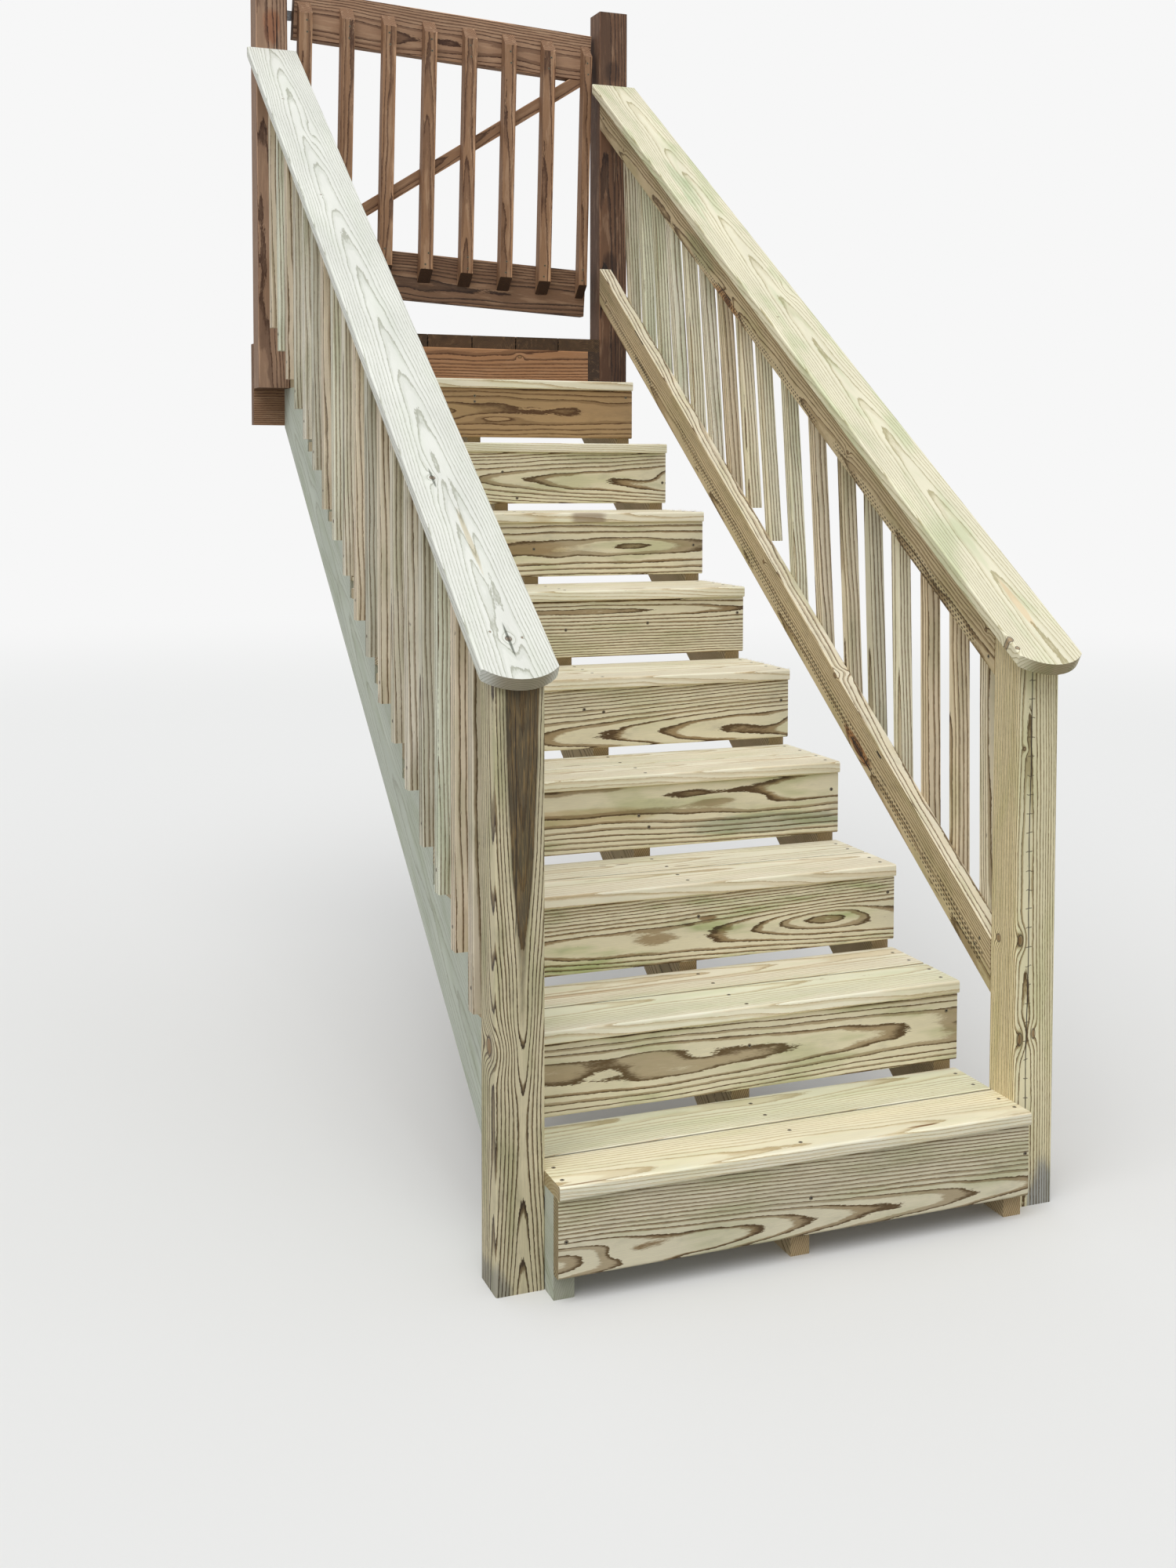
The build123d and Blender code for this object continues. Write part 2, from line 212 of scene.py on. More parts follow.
# %% Board frames
def corners_of(node):
    """All corner points of a node's mesh, each once."""
    mesh = nodes[node].data
    points = np.zeros(len(mesh.vertices) * 3)
    mesh.vertices.foreach_get("co", points)
    return np.unique(points.reshape(-1, 3).round(5), axis=0)


def main_axis(points, positive=0):
    """Direction of the longest spread of some points, turned so that one of its numbers is positive."""
    _, _, axes = np.linalg.svd(points - points.mean(0), full_matrices=False)
    return axes[0] * np.sign(axes[0][positive])


def slope_of(node):
    """Direction of a board that slopes in the side view, from its spread in Y and Z."""
    return (0.0, *main_axis(corners_of(node)[:, 1:]).tolist())


def board_frame(node, along, face):
    """Middle, three unit directions and half sizes (mm) of a board: along, across and through."""
    points, along, face = corners_of(node), np.array(along, float), np.array(face, float)
    across = np.cross(face, along)
    across /= np.linalg.norm(across)
    axes = np.stack([along / np.linalg.norm(along), across, np.cross(along, across)])
    reach = points @ axes.T
    low, high = reach.min(0), reach.max(0)
    middle = (low + high) / 2 @ axes
    return {"middle": middle, "axes": axes, "half": (high - low) * 500}


for node in ("right_bottom_rail", "left_handrail_cap"):
    print(node, "runs along", [round(value, 3) for value in slope_of(node)])

# %% [markdown]
# Wood in this picture is of two kinds. The new boards are pressure-treated
# pine: cream early wood, tan to olive late wood, a green bloom from the
# treatment, and brown where the heart of the tree comes to the surface. The
# gate, its posts and the boards under it are the same kind of timber after
# years of stain and weather.
#
# Both are grown the same way here. Each point of a board knows how far it is
# from the pith of its tree. Dividing that distance by the width of a year
# gives the ring it is in, and a slow wander of the pith along the board makes
# the rings cut the face in long arches. A knot is a hill in that distance
# field: the rings run round it, and a dark disc fills the middle. A swell is a
# hill without a disc, where a face was sawn through a bend of the trunk.


# %% Place on a board
def grain_place(wires, board, row=None):
    """Millimetres along, across and through a board, which board of a row it is, and across the row."""
    place = wires.node("ShaderNodeTexCoord", output=3)
    offset = wires.node("ShaderNodeVectorMath", {0: place, 1: tuple(board["middle"])}, operation="SUBTRACT")
    s, u, v = (along_axis(offset, tuple(axis * 1000)) for axis in board["axes"])
    if row is None:
        return s, u, v, None, u
    pitch, count = row
    number = ((u + pitch * count / 2) / pitch).floor()
    return s, u - (number - (count - 1) / 2) * pitch, v, number, u


def own_place(wires):
    """The same for a piece whose mesh carries its sticks' places and numbers."""
    place = wires.node("ShaderNodeAttribute", output=1, attribute_name="grain")
    s, u, v = (along_axis(place, axis) for axis in ((1, 0, 0), (0, 1, 0), (0, 0, 1)))
    number = wires.node("ShaderNodeAttribute", output=2, attribute_name="stick")
    return s, u, v, number, u


def dice(value):
    """White noise: one chance value from 0 to 1 for every whole number."""
    return value.node("ShaderNodeTexWhiteNoise", {"W": value}, output=0, noise_dimensions="1D")


def own_tree(number, seed, pith, jitter):
    """Offset into the noise, u and v of the pith, and a chance value, different for each board of a row."""
    shift = seed * 7.31
    if number is None:
        return shift, pith[0], pith[1], None
    own, again = dice(number + seed), dice(number * 1.7 + seed)
    return number * 3.17 + shift, own * jitter + (pith[0] - jitter / 2), again * 24 + (pith[1] - 12), own


print("places ready")

# %% [markdown]
# The rings of a real tree are never true circles. Three noises bend them: a
# slow one that wanders along the board and makes the arches, one about as wide
# as a finger that wobbles every line, and one as fine as the fibres, which
# gives the dark lines their toothed edge. Swells and knots are added to the
# same distance, so the lines run round them and never through them.

# %% Rings, swells and knots
def ring_field(s, u, v, shift, seed, pith_u, pith_v, lean, wander):
    """sqrt((u - pith u)^2 + (v - pith v)^2) + lean * s + the three noises, and two of the noises by themselves."""
    slow = cloud(triple(s / 380 + shift, u / 150 + seed, v / 150), 2.0)
    wobble = cloud(triple(s / 80 + shift, u / 15, v / 15 + seed), 3.0, 0.55)
    teeth = cloud(triple(s / 8 + shift, u / 1.1, v / 1.1), 1.0)
    radius = ((u - pith_u) ** 2 + (v - pith_v) ** 2) ** 0.5
    return radius + s * lean + slow * wander + wobble * 3.0 + teeth * 1.1, slow, wobble


def with_swells(rings, swells, s, over):
    """Adds hills: height * exp(-((s - s0) / half length)^2 - ((u - u0) / half width)^2)."""
    for at_s, at_u, long, wide, high in swells:
        hill = (((s - at_s) / long) ** 2 + ((over - at_u) / wide) ** 2) * -1
        rings = rings + hill.exponent() * high
    return rings


def with_knots(rings, knots, s, over, v, wobble):
    """Adds a hill of 1.3 radii at every knot, and gives the masks of the discs and of their dark rims."""
    discs, rims = None, None
    for at_s, at_u, size, stretch, *at_v in knots:
        far = ((s - at_s) / stretch) ** 2 + (over - at_u) ** 2
        if at_v:
            far = far + (v - at_v[0]) ** 2
        far = far ** 0.5 + wobble * size * 0.5
        hill = ((far / (1.9 * size)) ** 2 * -1).exponent()
        rings = rings + hill * size * 1.3
        disc = 1 - step(far, size * 0.55, size * 0.8)
        rim = step(far, size * 0.55, size * 0.75) * (1 - step(far, size * 0.8, size * 1.15))
        discs = disc if discs is None else discs.math("MAXIMUM", discs, disc)
        rims = rim if rims is None else rims.math("MAXIMUM", rims, rim)
    return rings, discs, rims


def year_bands(rings, year, shift):
    """A chance value for each year, its band of late wood, and the dark line where that band stops."""
    years = rings / year
    whole = years.floor()
    part = years - whole
    luck = dice(whole + shift)
    band = step(part, 0.40 + 0.28 * luck, 0.54 + 0.28 * luck) * (1 - step(part, 0.96, 1.0))
    edge = step(part, 0.76, 0.92) * (1 - step(part, 0.96, 1.0))
    return luck, band, edge


print("rings ready")

# %% [markdown]
# Marks come on top of the grain. A check is a crack from drying, and follows
# the fibres. A stain multiplies the colour in a ragged ellipse, so the grain
# still shows through it, and the same ellipses also lay painted shade on a board
# that lies in shadow. The slits were pressed in by a toothed wheel before
# the timber was treated: they stand in lanes, and every second lane is moved
# by half a step. Painting each one by hand would be the other way, but a
# repeated cell with a rule is shorter and stays sharp at any distance.

# %% Checks, stains, painted shade and slits
ticked_check = 900            # a check longer than this, in millimetres, has wheel marks beside it
slit_step, slit_lane = 13, 7.0


def tinted(colour, tone, share):
    """Multiplies a tone into a colour where share is 1."""
    return blend(colour, paint(*tone), share, "MULTIPLY")


def with_checks(colour, height, checks, s, over, wobble, slow, luck):
    """A dark line where the bent |u - u0| is under about half the width, and a groove in the relief."""
    for at_s, at_u, long, wide in checks:
        line = abs(over - at_u + wobble * 4 + slow * 12)
        ends = 1 - step(abs(s - at_s), long * 0.42, long * 0.5)
        crack = (1 - step(line, wide * 0.35, wide * 0.75)) * ends
        colour = blend(colour, paint(44, 32, 24), crack)
        height = height - crack * 2.5
        if long > ticked_check:
            nick = abs((s / 37 + wobble * 0.3).fraction() - 0.5) * 37
            nick = (1 - step(nick, 0.5, 1.3)) * (1 - step(abs(line - 5 + luck * 4), 3.0, 5.0)) * ends
            colour = blend(colour, paint(84, 70, 46), nick * 0.8)
    return colour, height


def with_stains_and_shade(colour, stains_and_shade, s, over, ragged):
    """A tint where ((s - s0) / half length)^2 + ((u - u0) / half width)^2 + ragged is under 1, for stained patches
    and for patches of painted shade.
    """
    for at_s, at_u, long, wide, strength, tone in stains_and_shade:
        inside = 1 - step(((s - at_s) / long) ** 2 + ((over - at_u) / wide) ** 2 + ragged, 0.35, 1.0)
        colour = tinted(colour, tone, inside * strength)
    return colour


def with_slits(colour, height, dots, s, over, patchy):
    """Dark ellipses in cells of slit_step by slit_lane, inside each zone and only where the wheel bit."""
    for at_s, at_u, long, wide in dots:
        lanes = (over - at_u) / slit_lane
        cell_s = (s / slit_step + lanes.floor() * 0.5).fraction() - 0.5
        cell_u = lanes.fraction() - 0.5
        slit = 1 - step((cell_s / 0.36) ** 2 + (cell_u / 0.30) ** 2, 0.5, 1.0)
        here = (1 - step(abs(s - at_s), long * 0.46, long * 0.5)) * (
            1 - step(abs(over - at_u), wide * 0.4, wide * 0.5))
        mark = slit * here * step(patchy, -0.20, -0.05)
        colour = blend(colour, paint(62, 46, 28), mark * 0.9)
        height = height - mark * 1.2
    return colour, height


print("marks ready")

# %% [markdown]
# One function puts these together into a finish. The order is that of the real
# board: first it grows, then it is treated or stained, then it is sawn, knocked
# about and left in the rain. Everything is a number that a board can change, so
# forty boards need forty short lines and not forty materials drawn by hand.


# %% Sawn timber
def timber(name, board=None, row=None, half=(1000, 70, 13), seed=1.0, pith=(10, -60), year=5.0, wander=16.0,
           lean=0.01, early=(238, 226, 196), late=(168, 146, 108), contrast=0.9, bloom=0.25,
           bloom_tint=(196, 204, 168), heart=None, heart_tint=(160, 122, 84), wear=0.0, wear_tint=(196, 160, 128),
           swells=(), knots=(), checks=(), stains_and_shade=(), dots=(), roughness=0.74, relief=0.0009,
           fibre=0.10, specks=0.5, bark=0.0, dirt=0.0, spread=0.0, jitter=50,
           edge_tint=(140, 124, 98), rub_and_sheen=0.10, seam=0.0, foot=None, flat=None):
    """A board's solid pattern, in millimetres along (s), across (u) and through (v) from the middle of the board.

    pith: u and v of the tree's middle. year: width of a ring. wander, lean: how the pith leaves the board's line.
    early, late, edge_tint, contrast: the rings' colours. heart: the distance within which the wood is brown.
    bloom, wear, specks, bark, dirt, fibre, rub: shares of green bloom, worn places, dark specks, bark edges,
    soot, fibre streaks and paler arrises, partly rubbed wear and partly a painted highlight. spread, jitter: how
    much the tints and piths of a row differ.
    swells: (s, u, half length, half width, height). knots: (s, u, radius, stretch), and v too where a knot shows
    on one face only. checks: (s, u, length, width). stains: (s, u, half length, half width, strength, colour) of
    stained patches, and of patches of painted shade.
    dots: (s, u, length, width) of a zone of slits. seam: half width of the dark line in the middle of a row.
    flat, foot: painted light and shade; flat tints the wide faces, and foot darkens the downward faces of the low
    end as painted shade; a number over 255 brightens."""
    material, wires = new_material(name)
    s, u, v, number, over = own_place(wires) if board is None else grain_place(wires, board, row)
    half = half if board is None else board["half"]
    shift, pith_u, pith_v, own = own_tree(number, seed, pith, jitter)
    rings, slow, wobble = ring_field(s, u, v, shift, seed, pith_u, pith_v, lean, wander)
    rings = with_swells(rings, swells, s, over)
    rings, knot_disc, knot_rim = with_knots(rings, knots, s, over, v, wobble)
    luck, band, edge = year_bands(rings, year, shift)
    patch = cloud(triple(s / 260 - shift, u / 60, v / 60), 2.0)
    thread = cloud(triple(s / 34, u / 0.9 + shift, v / 0.9), 2.0, 0.6)

    # Growth: pale early wood, then a band of brown late wood that stops sharply at a dark line
    dark = band * (0.65 + 0.35 * luck) * (contrast + patch * 0.6)
    colour = blend(paint(*early), paint(*late), dark.math("MINIMUM", dark, 1.0))
    colour = tinted(colour, edge_tint, edge * contrast)
    if heart is not None:
        core = 1 - step(rings, heart - 2.5, heart + 2.5)
        fleck = step(thread + wobble * 0.5, -0.04, 0.14)
        inner = blend(paint(*(0.56 * c for c in heart_tint)), paint(*heart_tint), fleck)
        colour = blend(colour, inner, core * 0.92)

    # Treatment and weather: green bloom, a tint for each stick, worn places, specks and soot
    green = step(cloud(triple(s / 210 + shift, u / 46 + 5, v / 46), 3.0), -0.04, 0.2)
    colour = tinted(colour, bloom_tint, green * bloom)
    if spread:
        kind = own.node("ShaderNodeValToRGB", {0: own}, stops=[
            (0.0, paint(238, 244, 232)), (0.3, paint(255, 248, 234)), (0.5, paint(206, 206, 196)),
            (0.7, paint(246, 233, 214)), (0.85, paint(230, 216, 198)), (1.0, paint(253, 255, 251))])
        colour = blend(colour, kind, spread, "MULTIPLY")
    if wear:
        worn = step(cloud(triple(s / 120 - shift, u / 14, v / 14 + 9), 4.0, 0.65), 0.0, 0.14) * (1 - band * 0.8)
        colour = blend(colour, paint(*wear_tint), worn * wear)
    if specks:
        speck = step(cloud(triple(s / 14 + shift, u / 2.6, v / 2.6), 1.0), 0.29, 0.34)
        colour = blend(colour, paint(96, 74, 48), speck * specks)
    level = 1 + thread * fibre * 2 + patch * 0.3
    if dirt:
        soot = step(cloud(triple(s / 60 + 3, u / 30 + shift, v / 30), 4.0, 0.6), 0.0, 0.3)
        level = level * (1 - soot * dirt)
    height = thread * 0.35 + band * 0.5
    if bark:
        rind = step(cloud(triple(s / 60 + shift * 2, u / 20, v / 20), 2.0), 0.25, 0.29) * step(abs(u), 6, 14)
        colour = blend(colour, blend(paint(120, 88, 62), paint(58, 42, 30), thread + 0.5), rind * bark)
        height = height - rind

    # Knots, cracks, stains, patches of painted shade, and slits
    if knot_disc is not None:
        inner = blend(paint(150, 116, 78), paint(62, 42, 28), knot_rim)
        colour = blend(colour, inner, (knot_disc * 0.8).math("MAXIMUM", knot_disc * 0.8, knot_rim * 0.85))
        height = height - knot_rim * 0.6
    colour, height = with_checks(colour, height, checks, s, over, wobble, slow, luck)
    colour = with_stains_and_shade(colour, stains_and_shade, s, over, wobble * 1.2 + thread * 0.35)
    colour, height = with_slits(colour, height, dots, s, over, patch + wobble * 0.6)
    if seam:
        colour = blend(colour, paint(88, 78, 56), (1 - step(abs(over), seam * 0.6, seam)) * 0.8)

    # The saw: darker ends. Then painted light and shade: tinted wide faces, shade on the low end's downward faces,
    # and arrises a little paler, partly rubbed wear and partly a painted highlight
    if board is None:
        end = step(abs(s), half[0] - 1.5, half[0] - 0.5)
    else:
        facing = along_axis(wires.node("ShaderNodeTexCoord", output=1), tuple(board["axes"][0]))
        end = step(abs(facing), 0.7, 0.95)
    colour = tinted(colour, (176, 160, 132), end * 0.8)
    # flat lightens or darkens the two wide faces by their direction: painted light and shade.
    if flat is not None:
        colour = tinted(colour, flat, step(abs(v), half[2] - 1.6, half[2] - 0.6))
    # foot darkens the faces of the low end that look down: painted shade.
    if foot is not None:
        colour = tinted(colour, foot, 1 - step(facing, -0.6, -0.3))
    # Arrises a little paler: partly rubbed wear, partly a painted highlight along the edges.
    arris = step(abs(u), half[1] - 4.5, half[1] - 1) * step(abs(v), half[2] - 4.5, half[2] - 1)
    level = level * (1 + arris * rub_and_sheen)
    colour = blend(colour, triple(level, level, level), 1.0, "MULTIPLY")
    finish_material(wires, colour, roughness + dark * -0.1 + thread * 0.1, height, relief)
    return material


def dress(node, material):
    """Gives a node of the model its finish."""
    slots = nodes[node].data.materials
    if len(slots):
        slots[0] = material
    else:
        slots.append(material)


def dress_board(node, along, face, row=None, width=None, **look):
    """Gives a board of the model its own timber. width is that of one board of a row, in millimetres."""
    board = board_frame(node, along, face)
    if width is not None:
        board["half"][1] = width / 2
    dress(node, timber(node, board, row=row, **look))


print("timber ready")

# %% [markdown]
# The treads and risers are the boards that are looked at most. Tread tops are
# sun-bleached cream with fine lines. Risers show the flat-sawn face with wide
# olive arches, so their pith lies deeper and their years are wider. Every board
# gets its own place in its own tree: the numbers below only say where the pith
# ran, and the arches follow.

# %% Treads and risers
X, Y, Z = (1, 0, 0), (0, 1, 0), (0, 0, 1)
front, left_side, right_side = (0, -1, 0), (-1, 0, 0), (1, 0, 0)
tread_board, tread_pitch = 139.7, 142.7
brown, tan, green_shade = (150, 112, 74), (214, 190, 150), (196, 214, 176)
riser_trees = {
    1: dict(pith=(-42, -26), year=6.0, lean=0.040, wander=10, swells=[(-330, -40, 80, 18, 9)], bloom=0.5),
    2: dict(pith=(4, -58), year=6.6, lean=0.012, wander=12,
            swells=[(-110, 9, 90, 14, 3.5), (-270, 2, 90, 18, 4), (520, 6, 150, 28, 10), (-540, -14, 190, 30, 9)]),
    3: dict(pith=(-18, -40), year=5.2, lean=-0.02, wander=10, contrast=1.15, bloom=1.0, bloom_tint=green_shade,
            swells=[(300, -6, 110, 20, -8), (-60, -18, 150, 18, 6), (500, -10, 120, 24, 8)],
            stains_and_shade=[(34, 18, 24, 5, 0.8, brown), (-8, 8, 14, 4, 0.7, brown)]),
    4: dict(pith=(40, -62), year=8.4, lean=-0.012, wander=22, bloom=0.7,
            swells=[(-330, -22, 80, 18, -9), (180, 26, 120, 12, 6)],
            stains_and_shade=[(300, -34, 260, 26, 0.6, (176, 192, 192)), (-180, 8, 260, 22, 0.5, tan)]),
    5: dict(pith=(-40, -46), year=6.6, lean=-0.040, wander=9, contrast=1.15, bloom=0.3,
            swells=[(430, -30, 60, 20, 5)]),
    6: dict(pith=(42, -34), year=5.8, lean=0.003, wander=8, contrast=1.15, bloom=0.4,
            swells=[(20, 42, 420, 15, -8), (-300, 36, 40, 12, 6)]),
    7: dict(pith=(4, -76), year=7.6, lean=0.004, wander=13, bloom=0.6, swells=[(280, 6, 110, 18, -8)],
            stains_and_shade=[(-160, 4, 330, 26, 0.6, tan)]),
    8: dict(pith=(-4, -44), year=6.2, lean=-0.030, wander=16, contrast=1.1, bloom=0.5,
            swells=[(-190, -10, 26, 16, -9), (-120, 8, 40, 12, 7), (430, 4, 70, 20, 6)]),
    # Riser 9 gets darker brown colours as painted shade: it lies in the shadow under the top tread.
    9: dict(pith=(4, -74), year=6.4, lean=0.008, wander=16, early=(178, 148, 108), late=(140, 112, 76), bloom=0.2,
            edge_tint=(160, 138, 112), specks=0.3, swells=[(60, -16, 70, 9, 7), (-130, 0, 70, 14, -7)]),
}
tread_marks = {
    1: dict(stains_and_shade=[(247, -122, 40, 4, 0.9, brown), (-430, -135, 60, 3, 0.8, brown),
                    # The next ellipse darkens the rear board of tread 1 with a green tint: painted shade, as that
                    # board lies in shadow.
                    (0, 71, 1500, 84, 0.6, (226, 232, 216)),
                    (0, -71, 1500, 84, 0.7, (255, 249, 234))]),
    2: dict(stains_and_shade=[(-400, 60, 320, 10, 0.5, (214, 184, 154)), (0, 66, 480, 8, 0.4, (210, 184, 154)),
                    (0, -60, 1500, 90, 0.5, (238, 246, 232))]),
    3: dict(knots=[(-76, 80, 3, 5.0), (-120, 82, 2, 4.0)],
            stains_and_shade=[(40, 20, 24, 3, 0.8, brown), (150, -10, 20, 2, 0.8, brown), (230, 10, 16, 2, 0.8, brown),
                    (-190, -40, 20, 2, 0.7, brown), (310, -20, 18, 2, 0.7, brown)]),
    4: dict(stains_and_shade=[(-115, 26, 30, 3, 0.8, brown), (260, -60, 60, 3, 0.5, brown)]),
    7: dict(stains_and_shade=[(148, -141, 56, 6, 0.6, (134, 102, 80)), (20, -138, 60, 4, 0.5, tan)]),
}
for number, tree in riser_trees.items():
    look = dict(early=(232, 224, 195), late=(158, 135, 98), bloom=0.7, seed=number * 1.7, dirt=0.16, fibre=0.16,
                bloom_tint=(208, 218, 190), contrast=1.0)
    dress_board(f"riser_{number}", X, front, **{**look, **tree})
    dress_board(f"tread_{number}", X, Z, row=(tread_pitch, 2), width=tread_board, seed=number * 2.3,
                pith=(0, -46 - 8 * (number % 3)), year=5.4 + number % 4 * 0.7, wander=18, lean=0.02,
                early=(255, 250, 228), late=(228, 210, 174), seam=4.0, contrast=0.65, bloom=0.35,
                bloom_tint=(226, 232, 212), spread=0.15, jitter=90, edge_tint=(204, 188, 160),
                **tread_marks.get(number, {}))
print("dressed", len(riser_trees), "treads and risers")

# %% [markdown]
# Stringers, newel posts and railings are treated pine too, each with its own
# tint: the outer plank is pale sage, the left cap almost white, the right cap
# cream with green and orange shadows. The rails' inner faces carry rows of
# small slits, which were pressed into the timber to let the treatment in.

# %% Stringers, newels and railings
flight = slope_of("left_stringer")
sage = dict(early=(206, 212, 198), late=(180, 184, 162), contrast=0.3)
straw = dict(early=(222, 200, 160), late=(180, 152, 108), contrast=0.7)
for side, facing, seed, tones in (("left", left_side, 2.2, sage), ("centre", left_side, 5.1, straw),
                                  ("right", right_side, 8.4, straw)):
    dress_board(f"{side}_stringer", flight, facing, seed=seed, pith=(60, -120), year=4.0, wander=16, bloom=0.3,
                fibre=0.04, specks=0.2, **tones)

newel_looks = {
    "left": dict(seed=3.1, pith=(-4, 30), year=5.6, wander=5, lean=-0.010, heart=29, early=(222, 211, 176),
                 late=(126, 106, 72), heart_tint=(126, 100, 58), edge_tint=(120, 104, 80),
                 knots=[(-132, 44, 19, 1.0, 6)], contrast=1.1, bloom=0.6, bloom_tint=(206, 214, 190),
                 fibre=0.26, dirt=0.25, checks=[(260, 8, 420, 1.2)],
                 swells=[(-220, 0, 350, 90, 26), (-110, -2, 110, 24, -9)],
                 stains_and_shade=[(-590, 44, 90, 34, 0.8, (176, 182, 204))]),
    "right": dict(seed=6.6, pith=(20, 70), year=5.0, wander=7, early=(240, 226, 186), late=(168, 144, 98),
                  # flat brightens the right newel's front and back faces: painted light.
                  contrast=1.0, bloom=0.4, bloom_tint=(220, 228, 200), flat=(262, 268, 272),
                  checks=[(60, 16, 1000, 1.8)],
                  knots=[(-42, 34, 7, 2.0, 44), (-236, 33, 7, 2.2, 44), (-228, 2, 5, 2.2, 44), (330, 30, 3, 1.4, 44),
                         (-50, 44, 8, 1.1, -16)],
                  stains_and_shade=[(-580, -24, 130, 38, 0.95, (178, 186, 218)), (-236, 33, 26, 10, 0.6, (190, 180, 140)),
                          (-42, 34, 22, 10, 0.6, (190, 180, 140))]),
}
cap_looks = {
    "left": dict(seed=4.4, early=(240, 241, 232), late=(226, 228, 217), contrast=1.0, bloom=0.2, year=4.6,
                 wander=12, lean=0.024, pith=(4, -36), bloom_tint=(232, 240, 226), specks=0.1,
                 edge_tint=(208, 208, 200),
                 swells=[(-975, 0, 200, 9, 6), (-1290, 2, 90, 16, 8), (-789, 25, 60, 12, 6), (820, -10, 110, 14, 6)],
                 knots=[(-789, 25, 6, 1.2), (-1290, 2, 6.5, 1.2), (1040, 25, 2.5, 1.4), (455, 24, 2.5, 1.4),
                        (-1269, 30, 2, 1.4), (-1288, -23, 2, 1.4)],
                 stains_and_shade=[(-789, 25, 40, 3, 0.9, (130, 134, 126)), (-1290, 2, 56, 3.2, 0.9, (120, 124, 116)),
                         (-1000, 1, 120, 6, 0.7, (226, 212, 184))]),
    "right": dict(seed=9.2, early=(244, 238, 210), late=(228, 220, 188), contrast=1.0, bloom=0.6, year=5.2,
                  wander=13, lean=0.022, pith=(-12, -38), bloom_tint=(214, 230, 206), specks=0.15,
                  edge_tint=(206, 202, 182),
                  swells=[(85, -42, 60, 14, 7), (580, 20, 200, 22, 5)],
                  knots=[(-1339, 66, 7, 1.2), (-1366, 64, 5, 1.2), (-57, 37, 2, 1.4)],
                  stains_and_shade=[(-1226, -10, 90, 10, 0.45, (248, 216, 180)), (700, 20, 200, 22, 0.5, (200, 222, 200)),
                          (560, 36, 120, 12, 0.4, (200, 222, 200))]),
}
rail_looks = {
    "top": dict(seed=1.3, dots=[(-900, 28, 760, 26), (0, 32, 900, 18)],
                knots=[(170, 36, 10, 2.4), (-602, 6, 5, 1.4), (-1282, -12, 4, 1.4), (1077, 14, 4, 1.4)],
                checks=[(200, 24, 110, 3)],
                stains_and_shade=[(400, 10, 130, 30, 0.5, (186, 210, 190)), (170, 40, 120, 22, 0.8, (206, 164, 124))]),
    "bottom": dict(seed=7.7, dots=[(-200, 14, 1700, 34), (1000, 20, 500, 24), (-1180, 12, 300, 30)],
                   knots=[(-67, -20, 5, 1.5), (-521, -38, 6, 1.5), (-700, 24, 9, 3.0), (1279, 14, 3, 1.2)],
                   checks=[(-720, 24, 120, 4), (-780, -33, 26, 5), (900, 20, 160, 2.5), (980, -40, 90, 3)],
                   stains_and_shade=[(-700, 22, 90, 16, 0.9, (190, 140, 96))]),
}
for side in ("left", "right"):
    dress_board(f"{side}_newel_post", Z, front, **newel_looks[side])
    slope = slope_of(f"{side}_handrail_cap")
    dress_board(f"{side}_handrail_cap", slope, (0, -slope[2], slope[1]), roughness=0.66, **cap_looks[side])
    inward = right_side if side == "left" else left_side
    for level, look in rail_looks.items():
        node = f"{side}_{level}_rail"
        # flat darkens the rails' inner and outer faces: painted shade under the caps.
        dress_board(node, slope_of(node), inward, pith=(30, -30), year=4.8, wander=14, early=(252, 242, 216),
                    late=(186, 164, 130), bloom=0.4, dirt=0.2, fibre=0.2, flat=(212, 202, 184), **look)
print("dressed the flight's frame")

# %% [markdown]
# Some pieces need a mesh of their own: sticks that know their numbers, screws,
# nails. A node of the model comes as loose triangles, so its doubles are merged
# first, and the triangles that then hang together are one solid. A new piece is
# made from arrays of points and faces, and an attribute gives every point a
# value that its material can read.


# %% Meshes in and out
def islands_of(points, triangles):
    """Number of the island each point belongs to: the lowest label spreads over joined triangles."""
    label = np.arange(len(points))
    while True:
        before = label.copy()
        lowest = label[triangles].min(1)
        for corner in range(3):
            np.minimum.at(label, triangles[:, corner], lowest)
        label = label[label]
        if (label == before).all():
            return np.unique(label, return_inverse=True)[1]


def joined_mesh(node):
    """Points and triangles of a node with its doubles merged, and the island that each point is on."""
    mesh = nodes[node].data
    points = np.zeros(len(mesh.vertices) * 3)
    mesh.vertices.foreach_get("co", points)
    mesh.calc_loop_triangles()
    triangles = np.zeros(len(mesh.loop_triangles) * 3, np.int32)
    mesh.loop_triangles.foreach_get("vertices", triangles)
    points, joined = np.unique(points.reshape(-1, 3).round(6), axis=0, return_inverse=True)
    triangles = joined.reshape(-1)[triangles.reshape(-1, 3)]
    return points, triangles, islands_of(points, triangles)


def new_piece(name, points, faces, body):
    """A piece from points and faces. It rides on a body."""
    mesh = bpy.data.meshes.new(name)
    mesh.from_pydata(points.tolist(), [], faces.tolist())
    piece = placed(name, mesh)
    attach(piece, body)
    return piece


def give_attribute(piece, name, kind, field, values):
    """Writes one value for each point of a piece."""
    attribute = piece.data.attributes.new(name, kind, "POINT")
    attribute.data.foreach_set(field, np.asarray(values, np.float32).ravel())


print("the gate's pales are", joined_mesh("gate_balusters")[2].max() + 1, "solids")

# %% [markdown]
# The balusters are one node a side, but each stick was sawn from another
# board, and their feet were cut by eye. Their finish has to know which stick it
# is on, and the model's mesh can't carry that. So a copy of it gets two
# attributes: the place along, across and through each stick, and the stick's
# number. numpy measures each stick's axis from the spread of its points.


